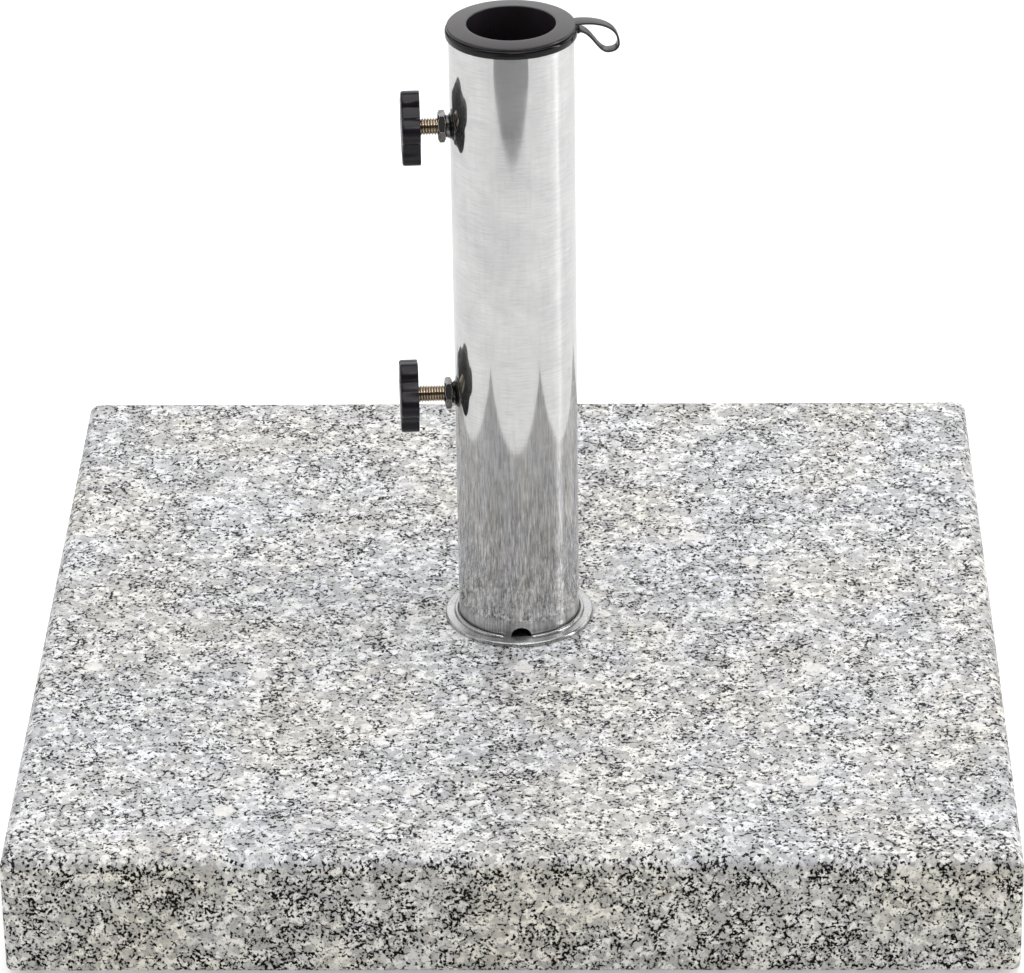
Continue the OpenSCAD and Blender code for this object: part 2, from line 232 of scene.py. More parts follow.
class Look:
    """A material or a world whose nodes are written as calls that take sockets and plain values."""

    def __init__(self, name, family=bpy.data.materials):
        self.made = family.new(name)
        self.made.use_nodes = True
        self.tree = self.made.node_tree
        self.tree.nodes.clear()
        self.place = self.node("ShaderNodeTexCoord").outputs["Object"]

    def node(self, kind, inputs=None, **settings):
        """A new node. Inputs are fed by name or number, and settings are its own properties."""
        made = self.tree.nodes.new(kind)
        for key, value in settings.items():
            setattr(made, key, value)
        for key, value in (inputs or {}).items():
            self.feed(made.inputs[key], value)
        return made

    def feed(self, socket, value):
        """Links a socket, or sets a plain value."""
        if isinstance(value, bpy.types.NodeSocket):
            self.tree.links.new(value, socket)
        elif isinstance(value, (tuple, list)) and len(value) == 3 and socket.type == "RGBA":
            socket.default_value = (*value, 1)
        else:
            socket.default_value = value

    def math(self, operation, a, b=0.0):
        return self.node("ShaderNodeMath", {0: a, 1: b}, operation=operation).outputs[0]

    def vector(self, operation, a, b=(0, 0, 0), scale=1.0, output="Vector"):
        made = self.node("ShaderNodeVectorMath", {0: a, 1: b, 3: scale}, operation=operation)
        return made.outputs[output]

    def scaled(self, x, y, z):
        """Coordinates in units of x, y and z metres."""
        inputs = {"Vector": self.place, "Scale": (1 / x, 1 / y, 1 / z)}
        return self.node("ShaderNodeMapping", inputs).outputs[0]

    def noise(self, size, detail=3, roughness=0.5, at=None, distortion=0.0):
        """Soft noise from 0 to 1 whose features measure about size."""
        inputs = {"Vector": at or self.place, "Scale": 1 / size, "Distortion": distortion}
        return self.node("ShaderNodeTexNoise", {**inputs, "Detail": detail, "Roughness": roughness})

    def stretched(self, across, upright, detail=3, roughness=0.6):
        """Soft noise whose features are longer or shorter upright than across."""
        at = self.scaled(across, across, upright)
        return self.noise(1.0, detail, roughness, at).outputs[0]

    def cells(self, size, at, feature="F1", smooth=0.0):
        """Random cells that measure about size, which melt into each other when smooth is above 0."""
        inputs = {"Vector": at, "Scale": 1 / size}
        if smooth:
            inputs["Smoothness"] = smooth
            feature = "SMOOTH_F1"
        return self.node("ShaderNodeTexVoronoi", inputs, feature=feature)

    def channel(self, colour, index):
        return self.node("ShaderNodeSeparateColor", {0: colour}).outputs[index]

    def range(self, value, low, high, to_low=0.0, to_high=1.0, smooth=False):
        """A value moved from the range low to high into to_low to to_high, and held at its ends."""
        inputs = {"Value": value, "From Min": low, "From Max": high, "To Min": to_low, "To Max": to_high}
        kind = "SMOOTHSTEP" if smooth else "LINEAR"
        return self.node("ShaderNodeMapRange", inputs, interpolation_type=kind).outputs["Result"]

    def mix(self, share, a, b, blend="MIX"):
        made = self.node("ShaderNodeMix", data_type="RGBA", blend_type=blend)
        for index, value in ((0, share), (6, a), (7, b)):
            self.feed(made.inputs[index], value)
        return made.outputs[2]

    def ramp(self, value, stops):
        """A colour that runs through stops of (place, colour) as the value rises."""
        made = self.node("ShaderNodeValToRGB", {"Fac": value})
        line = made.color_ramp
        while len(line.elements) < len(stops):
            line.elements.new(0.5)
        for element, (position, colour) in zip(line.elements, stops):
            element.position = position
            element.color = (*colour, 1)
        return made.outputs["Color"]

    def tinted(self, colour, value, stops):
        """A colour multiplied by a ramp of tints."""
        return self.mix(1.0, colour, self.ramp(value, stops), "MULTIPLY")

    def bump(self, height, distance, strength):
        inputs = {"Height": height, "Distance": distance, "Strength": strength}
        return self.node("ShaderNodeBump", inputs).outputs[0]

    def hollows(self, reach, low, high, most):
        """A share from 0 on open ground up to most in hollows and gaps narrower than reach, used as a mask
        for painted shade.
        """
        sky = self.node("ShaderNodeAmbientOcclusion", {"Distance": reach}, samples=4).outputs["AO"]
        return self.range(sky, low, high, most, 0.0)

    def blended(self, share, a, b):
        """A mix of two surfaces."""
        return self.node("ShaderNodeMixShader", {0: share, 1: a, 2: b}).outputs[0]

    def principled(self, **inputs):
        named = {key.replace("_", " "): value for key, value in inputs.items()}
        return self.node("ShaderNodeBsdfPrincipled", named).outputs[0]

    def done(self, surface, output="ShaderNodeOutputMaterial"):
        self.tree.links.new(surface, self.node(output).inputs["Surface"])
        return self.made


def grey(value, warmth=0.0):
    """A grey that leans to yellow with positive warmth and to blue with negative."""
    return (value * (1 + warmth), value, value * (1 - warmth))


def granite_look():
    """Light grey granite: pale feldspar, smoky quartz, chains of black mica and a few white crystals."""
    look = Look("granite")
    grain_size, salt_size, quartz_size, pit_size = 3.6 * MM, 1.2 * MM, 2.4 * MM, 0.9 * MM
    chain_size, cluster_size, crystal_size = 5.5 * MM, 13 * MM, 26 * MM
    cloud_size, stain_size = 70 * MM, 8 * MM

    # the grains' outlines are ragged, and level is 1 on the polished top and 0 on the sawn sides
    drift = look.noise(1.8 * MM, detail=4, roughness=0.65).outputs["Color"]
    drift = look.vector("SUBTRACT", drift, (0.5, 0.5, 0.5))
    ragged = look.vector("ADD", look.place, look.vector("SCALE", drift, scale=3.0 * MM))
    normal_z = look.channel(look.node("ShaderNodeNewGeometry").outputs["Normal"], 2)
    flat = look.math("ABSOLUTE", normal_z)
    level = look.range(flat, 0.2, 0.6)

    # the dark minerals gather in clusters, and along the edges of the large pale grains
    cluster = look.noise(cluster_size, detail=3, roughness=0.6).outputs[0]
    edge = look.cells(chain_size, ragged, feature="DISTANCE_TO_EDGE").outputs["Distance"]
    crowd = look.range(cluster, 0.35, 0.65, -0.04, 0.05)
    crowd = look.math("ADD", crowd, look.range(edge, 0.0, 0.25, 0.05, -0.06))

    # pale feldspar, lighter and darker from grain to grain, with a fine salt in it
    grain = look.channel(look.cells(grain_size, ragged, smooth=0.3).outputs["Color"], 0)
    dull, middling, bright = (grey(value, 0.005) for value in (0.46, 0.64, 0.86))
    colour = look.ramp(grain, [(0.2, dull), (0.5, middling), (0.8, bright)])
    salt = look.noise(salt_size, detail=3, roughness=0.65).outputs[0]
    colour = look.tinted(colour, salt, [(0.3, grey(0.45)), (0.42, grey(0.92)), (0.6, grey(1.04))])

    # smoky quartz round the dark minerals
    quartz = look.math("ADD", look.noise(quartz_size, detail=4, roughness=0.65).outputs[0], crowd)
    smoky = look.range(quartz, 0.53, 0.64, 0, 0.75, smooth=True)
    colour = look.mix(smoky, colour, (0.23, 0.228, 0.238))

    # broad bluish and warm clouds, and small tan and violet stains
    cloud = look.noise(cloud_size, detail=4).outputs[0]
    bluish, pale, warm = (0.965, 0.982, 1.012), (1.0, 1.0, 0.998), (1.02, 1.0, 0.95)
    colour = look.tinted(colour, cloud, [(0.38, bluish), (0.5, pale), (0.62, warm)])
    stain = look.noise(stain_size, detail=3, roughness=0.6).outputs[0]
    violet, clean, tan = (0.96, 0.94, 1.0), grey(1.0), (1.01, 0.97, 0.9)
    colour = look.tinted(colour, stain, [(0.32, violet), (0.44, clean), (0.6, clean), (0.7, tan)])

    # black mica in ragged flecks, where two noises are both high, greyer and sparser on the polished top
    first = look.noise(1.5 * MM, detail=3, roughness=0.5).outputs[0]
    second_at = look.scaled(1.6 * MM, 1.8 * MM, 1.7 * MM)
    second = look.noise(1.0, detail=2, roughness=0.5, at=second_at).outputs[0]
    fleck = look.math("ADD", look.math("MINIMUM", first, second), crowd)
    fleck = look.math("ADD", fleck, look.range(level, 0, 1, 0.017, -0.004))
    black = look.range(fleck, 0.515, 0.54, smooth=True)
    halo = look.range(fleck, 0.46, 0.53, 0, 0.35, smooth=True)
    colour = look.mix(halo, colour, grey(0.16))
    colour = look.mix(black, colour, look.mix(level, (0.007, 0.005, 0.003), grey(0.022)))

    # large white crystals, in two of five cells
    crystal = look.cells(crystal_size, ragged)
    rare = look.math("LESS_THAN", look.channel(crystal.outputs["Color"], 0), 0.42)
    size = look.range(look.channel(crystal.outputs["Color"], 1), 0, 1, 0.05, 0.2)
    inside = look.range(look.math("SUBTRACT", size, crystal.outputs["Distance"]), -0.01, 0.04)
    white = look.math("MULTIPLY", look.math("MULTIPLY", rare, inside), 0.75)
    colour = look.mix(white, colour, grey(0.79, 0.035))

    # the sawn sides are warmer and duller, the flecks don't shine, and fine pits break the surface
    colour = look.tinted(colour, flat, [(0.2, (1.04, 1.02, 0.955)), (0.5, grey(1.0))])
    rough = look.range(level, 0, 1, 0.62, 0.38)
    rough = look.math("ADD", rough, look.range(salt, 0, 1, -0.08, 0.08))
    pits = look.noise(pit_size, detail=4, roughness=0.7).outputs[0]
    pits = look.math("SUBTRACT", pits, look.math("MULTIPLY", black, 0.15))
    shine = look.range(black, 0, 1, 0.9, 0.05)
    finish = {"Roughness": rough, "Normal": look.bump(pits, 0.12 * MM, 0.35), "IOR": 1.5}
    return look.done(look.principled(Base_Color=colour, Specular_IOR_Level=shine, **finish))


def stainless_look(name, tone=0.64, rough=0.045, satin_below=0.0, seam_shade=0.0):
    """Polished stainless steel: a mirror drawn out upright by turning marks, with scratches at its foot,
    and painted shade in its narrow seams if asked.
    """
    look = Look(name)
    smudge = look.noise(22 * MM, detail=6, roughness=0.65, distortion=0.6).outputs[0]
    rings = look.stretched(9 * MM, 0.45 * MM)
    drags = look.stretched(1.5 * MM, 18 * MM)
    scratches = look.stretched(0.6 * MM, 9 * MM, detail=2)
    height = look.node("ShaderNodeSeparateXYZ", {0: look.place}).outputs["Z"]

    colour = look.ramp(smudge, [(0.3, grey(tone * 0.9)), (0.7, grey(tone * 1.08, 0.005))])
    colour = look.tinted(colour, rings, [(0.3, grey(0.88)), (0.5, grey(1.0)), (0.7, grey(1.08))])
    colour = look.tinted(colour, drags, [(0.3, grey(0.95)), (0.5, grey(1.0)), (0.7, grey(1.03))])
    near_foot = look.range(height, TUBE_FOOT + 60 * MM, TUBE_FOOT + 115 * MM, 1.0, 0.0)
    scratch_tints = [(0.36, grey(0.68)), (0.5, grey(0.93)), (0.62, grey(1.16))]
    colour = look.mix(near_foot, colour, look.tinted(colour, scratches, scratch_tints))
    # painted shade: narrow hollows, such as the seams where the weld bead meets the tube and the flange,
    # are darkened nearly to black
    if seam_shade:
        colour = look.mix(look.hollows(1.2 * MM, 0.2, 0.6, seam_shade), colour, grey(0.02, 0.2))

    # painted shade: inside the tube's wall the colour is nearly black
    radius = look.vector("LENGTH", look.vector("MULTIPLY", look.place, (1, 1, 0)), output="Value")
    inside = look.math("LESS_THAN", radius, TUBE_R - TUBE_WALL / 2)
    colour = look.mix(inside, colour, grey(0.05, 0.05))

    normal = look.bump(rings, 0.01 * MM, 0.12)
    upright = look.node("ShaderNodeTangent", direction_type="RADIAL", axis="Z").outputs[0]
    drawn = {"Base_Color": colour, "Metallic": 1.0, "Tangent": upright, "Anisotropic_Rotation": 0.25}
    clear = look.range(smudge, 0.3, 0.7, rough * 0.8, rough * 1.3)
    mirror = look.principled(Roughness=clear, Anisotropic=0.9, Normal=normal, **drawn)
    smear = look.principled(Roughness=0.35, Anisotropic=1.0, **drawn)
    surface = look.blended(0.2, mirror, smear)
    if satin_below:
        ragged = look.math("ADD", height, look.range(drags, 0, 1, -2 * MM, 2 * MM))
        share = look.range(ragged, satin_below - 1.5 * MM, satin_below + 1.5 * MM, 0.8, 0.0)
        satin = look.principled(Base_Color=colour, Metallic=1.0, Roughness=0.34, Normal=normal)
        surface = look.blended(share, surface, satin)
    return look.done(surface)


def metal_look(name, colour, rough, stain, stain_share, edge=None, hollow=0.0):
    """A small metal part with stains and fine marks, with painted highlights on its edges and painted shade
    in its hollows.
    """
    look = Look(name)
    patch = look.range(look.noise(3 * MM, detail=4, roughness=0.6).outputs[0], 0.45, 0.7, 0, stain_share)
    shade = look.mix(patch, colour, stain)
    # painted shade: the part's hollows, such as a thread's grooves, are darkened towards the stain colour
    if hollow:
        shade = look.mix(look.hollows(0.8 * MM, 0.25, 0.8, hollow), shade, stain)
    marks = look.noise(0.5 * MM, detail=3).outputs[0]
    clear = look.range(marks, 0, 1, rough * 0.7, rough * 1.3)
    clear = look.math("ADD", clear, look.math("MULTIPLY", patch, 0.1))
    if edge:
        # painted highlight: an edge is where the surface and the same surface rounded off face different
        # ways, and there it takes the bright edge colour and turns rougher
        facing = look.node("ShaderNodeNewGeometry").outputs["Normal"]
        rounded = look.node("ShaderNodeBevel", {"Radius": 0.3 * MM}, samples=8).outputs[0]
        same = look.vector("DOT_PRODUCT", facing, rounded, output="Value")
        edge_glint = look.range(same, 0.98, 0.93)
        shade = look.mix(edge_glint, shade, edge)
        clear = look.math("ADD", clear, look.math("MULTIPLY", edge_glint, 0.4))
    normal = look.bump(marks, 0.03 * MM, 0.3)
    return look.done(look.principled(Base_Color=shade, Metallic=1.0, Roughness=clear, Normal=normal))


def plastic_look(name, colour, rough, grain=0.25 * MM, depth=0.02 * MM, shine=0.5):
    """Moulded plastic with a fine grain, and slightly duller where it has been handled."""
    look = Look(name)
    wear = look.noise(18 * MM, detail=5, roughness=0.65).outputs[0]
    texture = look.noise(grain, detail=2).outputs[0]
    shade = look.mix(look.range(wear, 0.4, 0.75), colour, tuple(1.5 * c for c in colour))
    clear = look.range(wear, 0.3, 0.8, rough * 0.85, rough * 1.2)
    clear = look.math("ADD", clear, look.range(texture, 0, 1, -0.03, 0.03))
    finish = {"Roughness": clear, "Normal": look.bump(texture, depth, 0.4), "IOR": 1.5}
    return look.done(look.principled(Base_Color=shade, Specular_IOR_Level=shine, **finish))


GRANITE = granite_look()
TUBE_STEEL = stainless_look("tube_stainless", satin_below=TUBE_FOOT + 7 * MM)
# the flange and its weld bead get painted shade in their seams
FLANGE_STEEL = stainless_look("flange_stainless", tone=0.5, rough=0.26, seam_shade=0.9)
# the nut gets painted white highlights on its edges
NUT_STEEL = metal_look("nut_stainless", grey(0.22, 0.03), 0.1, grey(0.04, 0.1), 0.8, edge=grey(1.0))
WELD_STEEL = metal_look("weld_stainless", grey(0.2, 0.03), 0.2, grey(0.04, 0.08), 0.8)
# the screw gets painted shade in its thread's grooves
SCREW_STEEL = metal_look("screw_steel", (0.58, 0.5, 0.4), 0.16, (0.08, 0.055, 0.035), 0.3, hollow=0.95)
ZINC_STEEL = metal_look("zinc_steel", grey(0.62, -0.02), 0.3, grey(0.4), 0.6)
KNOB_PLASTIC = plastic_look("knob_plastic", (0.006, 0.004, 0.008), 0.27, shine=0.32)
COLLAR_PLASTIC = plastic_look("collar_plastic", (0.004, 0.004, 0.005), 0.14, shine=0.25)
RING_PLASTIC = plastic_look("ring_plastic", (0.016, 0.012, 0.015), 0.3)
PAD_PLASTIC = plastic_look("pad_plastic", (0.02, 0.02, 0.02), 0.5)
RUBBER = plastic_look("foot_rubber", (0.02, 0.02, 0.02), 0.75, grain=0.6 * MM, depth=0.08 * MM)


# ------------------------------ slab, feet and anchor


def slab_loop(inset, z, chips=0.0):
    """The slab's outline at one height, drawn in by inset, with round corners and small chips."""
    spacing, corner_steps, corner_r, chip_size = 3 * MM, 8, 4 * MM, 7 * MM
    full_half = (SLAB_HIGH.x - SLAB_LOW.x) / 2
    half = full_half - inset
    corner = max(corner_r - 0.4 * inset, 1.5 * MM)
    run = half - corner
    side_steps = round(2 * (full_half - corner_r) / spacing)
    side = [Vector((half, -run + 2 * run * i / side_steps, z)) for i in range(side_steps)]
    angles = [math.pi / 2 * i / corner_steps for i in range(corner_steps)]
    arc = [Vector((run + corner * math.cos(a), run + corner * math.sin(a), z)) for a in angles]
    points = []
    for quarter in range(4):
        turn = Matrix.Rotation(quarter * math.pi / 2, 3, "Z")
        points += [turn @ point for point in side + arc]
    for i, point in enumerate(points):
        if chips:
            rough = noise.fractal(point / chip_size, 1.0, 2.0, 3)
            inwards = Vector((-point.x, -point.y, 0)).normalized()
            points[i] = point + inwards * chips * max(0.0, rough)
    return points


def build_slab():
    """The stone: a large round on its top edges, a small one below, and a pocket for the anchor."""
    top_r, bottom_r, flat = 6 * MM, 2 * MM, 3 * MM
    top_steps, bottom_steps = 10, 4
    top_chips, bottom_chips = 0.2 * MM, 0.3 * MM
    low, high = SLAB_LOW.z, SLAB_HIGH.z
    loops = [slab_loop(bottom_r + flat, low)]
    for k in range(bottom_steps + 1):
        a = math.pi / 2 * k / bottom_steps
        inset, rise = bottom_r * (1 - math.sin(a)), bottom_r * (1 - math.cos(a))
        loops.append(slab_loop(inset, low + rise, bottom_chips))
    loops.append(slab_loop(0, low + bottom_r + flat))
    loops.append(slab_loop(0, high - top_r - flat))
    for k in range(top_steps + 1):
        a = math.pi / 2 * k / top_steps
        inset, fall = top_r * (1 - math.cos(a)), top_r * (1 - math.sin(a))
        loops.append(slab_loop(inset, high - fall, top_chips * math.sin(2 * a)))
    loops.append(slab_loop(top_r + flat, high))
    slab = make_object("granite_slab_stone", *loft(loops), GRANITE)

    pocket_r, hole_r, beyond = 22 * MM, 7 * MM, 5 * MM
    pocket_top = extent("anchor_washer", UP)[1]
    pocket = filleted(
        [
            (0, low - beyond, 0),
            (pocket_r, low - beyond, 0),
            (pocket_r, pocket_top, 1.5 * MM),
            (hole_r, pocket_top, 0),
            (hole_r, high + beyond, 0),
            (0, high + beyond, 0),
        ]
    )
    cut(slab, [lathe(pocket, 96)])
    slab.data.shade_smooth()
    slab.data.set_sharp_from_angle(angle=math.radians(35))
    place(slab, "stand", "granite_slab", "granite")


def build_feet():
    """Four rubber pads with a shallow dish underneath."""
    low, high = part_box("rubber_feet")
    radius, height = 15 * MM, high.z - low.z
    dish, chamfer = 0.7 * MM, 1 * MM
    reach = high.x - radius
    profile = filleted(
        [
            (0, dish, 0),
            (radius * 0.55, dish, 0.3 * MM),
            (radius * 0.6, 0, 0.3 * MM),
            (radius - chamfer, 0, 0.5 * MM),
            (radius, chamfer, 0.5 * MM),
            (radius, height, 0.2 * MM),
            (0, height, 0),
        ],
        steps=4,
    )
    foot = lathe(profile, 64)
    spots = [Matrix.Translation((x, y, low.z)) for x in (-reach, reach) for y in (-reach, reach)]
    feet = make_object("rubber_feet_pads", *joined(*[moved(foot, spot) for spot in spots]), RUBBER)
    place(feet, "stand", "rubber_feet", "foot_rubber")


def threaded_rod(major_r, pitch, start, end, tip_chamfer):
    """A right-hand thread from start to end along +z, with flat crests and round roots."""
    depth, around = 0.6 * pitch, 48
    # one turn's section: share of the pitch, share of the depth
    knots = [(0.0, 0.0), (0.07, 0.0), (0.43, 1.0), (0.5, 1.06), (0.57, 1.0), (0.93, 0.0)]

    def radius_at(phase, z):
        for (u, share), (u_next, share_next) in zip(knots, knots[1:] + [(1.0, 0.0)]):
            if u <= phase <= u_next:
                radius = major_r - depth * (share + (share_next - share) * (phase - u) / (u_next - u))
                break
        return min(radius, major_r - max(0.0, z - (end - tip_chamfer)))

    columns = []
    turns = math.ceil((end - start) / pitch) + 2
    for i in range(around + 1):
        lead = pitch * i / around
        column = []
        for k in range(-1, turns):
            for u, _ in knots:
                z = min(max(start + (k + u) * pitch + lead - pitch, start), end)
                phase = ((z - start - lead) / pitch) % 1.0
                column.append((z, radius_at(phase, z)))
        columns.append(column)
    rows = len(columns[0])
    vertices = []
    for i, column in enumerate(columns):
        angle = math.tau * i / around
        vertices += [(r * math.cos(angle), r * math.sin(angle), z) for z, r in column]
    faces = []
    for i in range(around):
        a, b = i * rows, (i + 1) * rows
        faces += [(a + j, b + j, b + j + 1, a + j + 1) for j in range(rows - 1)]
        faces.append((len(columns) * rows, b, a))
        faces.append((len(columns) * rows + 1, a + rows - 1, b + rows - 1))
    vertices += [(0, 0, start), (0, 0, end)]
    return vertices, faces


HEX_POINTS = 72


def hex_loops(across_flats, low, high, chamfer_low, chamfer_high):
    """Loops of a hexagonal prism with chamfered corners, flats on +x and -x."""
    inner = across_flats / 2 * 0.95
    loops = [[], [], [], []]
    for i in range(HEX_POINTS):
        angle = math.tau * i / HEX_POINTS
        off = (angle + math.pi / 6) % (math.pi / 3) - math.pi / 6
        full = across_flats / 2 / math.cos(off)
        rise = (full - inner) * math.tan(math.radians(30))
        for loop, radius, z in (
            (loops[0], inner if chamfer_low else full, low),
            (loops[1], full, low + (rise if chamfer_low else 0)),
            (loops[2], full, high - (rise if chamfer_high else 0)),
            (loops[3], inner if chamfer_high else full, high),
        ):
            loop.append((radius * math.cos(angle), radius * math.sin(angle), z))
    return loops


def build_anchor():
    """The bolt that holds the tube on the stone, its nut in the tube's foot, and the CAD's washers."""
    head_low, tip = extent("anchor_bolt", UP)
    head_top = extent("anchor_spring_washer", UP)[0]
    shank_r, overlap = 5.4 * MM, 1 * MM
    thread_start = head_top + 12 * MM
    head = loft(hex_loops(M12_FLATS, head_low, head_top, True, False))
    shank = loft([circle(shank_r, head_top - overlap, 48), circle(shank_r, thread_start + overlap, 48)])
    thread = threaded_rod(6 * MM, M12_PITCH, thread_start, tip, 1 * MM)
    bolt = make_object("anchor_bolt_m12", *joined(head, shank, thread), ZINC_STEEL)
    place(bolt, "stand", "anchor_bolt", "zinc_steel")

    low, high = extent("anchor_nut", UP)
    bore_r, mouth_r, mouth_depth = 6.05 * MM, 6.8 * MM, 0.8 * MM
    loops = [
        circle(bore_r, low, HEX_POINTS),
        *hex_loops(M12_FLATS, low, high, False, True),
        circle(mouth_r, high, HEX_POINTS),
        circle(bore_r, high - mouth_depth, HEX_POINTS),
    ]
    nut = make_object("anchor_nut_hexagon", *loft(loops + [loops[0]], capped=False), NUT_STEEL)
    place(nut, "stand", "anchor_nut", "nut_stainless", Matrix.Rotation(TUBE_TURN, 4, "Z"))

    for node in ("anchor_washer", "anchor_spring_washer"):
        washer = frame["nodes"][node]
        washer.data.materials.clear()
        washer.data.materials.append(ZINC_STEEL)


# ------------------------------ tube and flange


NOTCH_AT = TUBE_TURN + math.radians(269)


def build_flange():
    """The round disc under the tube, and the weld that joins them."""
    low, top = extent("base_flange", UP)[0], TUBE_FOOT
    radius = radius_of("base_flange")
    profile = filleted(
        [
            (FLANGE_HOLE_R, low, 0),
            (radius, low, 0.3 * MM),
            (radius, top, 1.1 * MM),
            (FLANGE_HOLE_R, top, 0.2 * MM),
        ]
    )
    flange = make_object("base_flange_disc", *lathe(profile, 256), FLANGE_STEEL)
    place(flange, "stand", "base_flange", "polished_stainless")

    # the bead round the tube's foot, open at the drain notch, with the slight waves of a weld
    gap_before, gap_after = math.radians(16.5), math.radians(9.5)
    start = NOTCH_AT + gap_after
    sweep = math.tau - gap_before - gap_after
    segments, round_steps, fade_steps = 420, 14, 4
    bead_r, centre_r, centre_z, sunk = 0.98 * MM, TUBE_R + 1.35 * MM, top + 0.15 * MM, 0.3 * MM
    loops = []
    for i in range(segments + 1):
        angle = start + sweep * i / segments
        lump = noise.noise(Vector((math.cos(angle), math.sin(angle), 0)) * 9)
        wave = 1 + 0.05 * math.sin(angle * 150) + 0.08 * lump
        end_fade = min(1.0, (i + 1) / fade_steps, (segments - i + 1) / fade_steps)
        bead = bead_r * wave * (0.6 + 0.4 * end_fade)
        loop = []
        for k in range(round_steps):
            a = math.tau * k / round_steps
            r, z = centre_r + bead * math.cos(a) * 1.05, centre_z + bead * math.sin(a) * 1.15
            loop.append((r * math.cos(angle), r * math.sin(angle), max(z, top - sunk)))
        loops.append(loop)
    bead = make_object("foot_weld_bead", *loft(loops), FLANGE_STEEL, sharp=60)
    place(bead, "stand", "base_flange", "polished_stainless")


def build_tube():
    """The upright tube with its drain notch and two holes for the screws."""
    inner = TUBE_R - TUBE_WALL
    profile = filleted(
        [
            (inner, TUBE_FOOT, 0.2 * MM),
            (TUBE_R, TUBE_FOOT, 0.2 * MM),
            (TUBE_R, TUBE_RIM, 0.3 * MM),
            (inner, TUBE_RIM, 0.3 * MM),
        ],
        steps=3,
    )
    tube = make_object("upright_tube_wall", *lathe(profile, 256), TUBE_STEEL)
    reach, notch_r, hole_r = TUBE_R * 1.5, 4.85 * MM, 4.5 * MM
    sideways = Matrix.Rotation(NOTCH_AT, 4, "Z") @ Matrix.Rotation(math.pi / 2, 4, "Y")
    notch = loft([circle(notch_r, 0, 64), circle(notch_r, reach, 64)])
    cutters = [moved(notch, Matrix.Translation((0, 0, TUBE_FOOT)) @ sideways)]
    hole = loft([circle(hole_r, -reach, 64), circle(hole_r, 0, 64)])
    for side in ("upper", "lower"):
        cutters.append(moved(hole, screw_matrix(side)))
    cut(tube, cutters)
    outward_normals(tube)
    place(tube, "stand", "upright_tube", "polished_stainless")


def outward_normals(tube):
    """Gives the tube's walls exact round normals, so that its mirror has no facets."""
    mesh = tube.data
    mesh.shade_smooth()
    mesh.set_sharp_from_angle(angle=math.radians(30))
    normals = [tuple(n.vector) for n in mesh.corner_normals]
    for face in mesh.polygons:
        flat = abs(face.normal.z) < 0.02
        for loop in face.loop_indices:
            point = mesh.vertices[mesh.loops[loop].vertex_index].co
            radius = math.hypot(point.x, point.y)
            radial = Vector((point.x, point.y, 0)) / radius
            if flat and abs(face.normal.dot(radial)) > 0.99:
                normals[loop] = tuple(radial * math.copysign(1, face.normal.dot(radial)))
    mesh.normals_split_custom_set(normals)


# ------------------------------ clamping screws


def screw_matrix(side):
    """Puts local +z along a screw's inward way, with z = 0 on the tube's axis and -x upwards."""
    height = JOINTS[f"{side}_knob_turn"]["pos_m"][2]
    sideways = UP.cross(INWARD)
    turn = Matrix((-UP, sideways, INWARD)).transposed().to_4x4()
    return Matrix.Translation((0, 0, height)) @ turn


KNOB_R = 17.7 * MM
KNOB_LOBES = 5
LOBE_R = 6.4 * MM
HOLLOW_R = 14.3 * MM


def knob_radius(angle):
    """The star's outline: round lobes on a round core, with small fillets where they meet."""
    step = math.tau / KNOB_LOBES
    off = (angle + step / 2) % step - step / 2
    centre = KNOB_R - LOBE_R
    under_root = LOBE_R**2 - (centre * math.sin(off)) ** 2
    lobe = centre * math.cos(off) + math.sqrt(max(0.0, under_root))
    fillet = 0.5 * MM
    blend = max(0.0, fillet - abs(lobe - HOLLOW_R)) / fillet
    return max(lobe, HOLLOW_R) + blend * blend * fillet / 4


def lobe_angle(side, matrix):
    """The angle of a lobe about the screw's axis, read off the CAD knob's outermost points."""
    to_local = matrix.inverted()
    points = [to_local @ v.co for v in frame["nodes"][f"{side}_knob"].data.vertices]
    reach = max(math.hypot(point.x, point.y) for point in points)
    tips = [point for point in points if math.hypot(point.x, point.y) > reach - 0.01 * MM]
    turns = [math.atan2(tip.y, tip.x) * KNOB_LOBES for tip in tips]
    middle = math.atan2(sum(math.sin(turn) for turn in turns), sum(math.cos(turn) for turn in turns))
    return middle / KNOB_LOBES


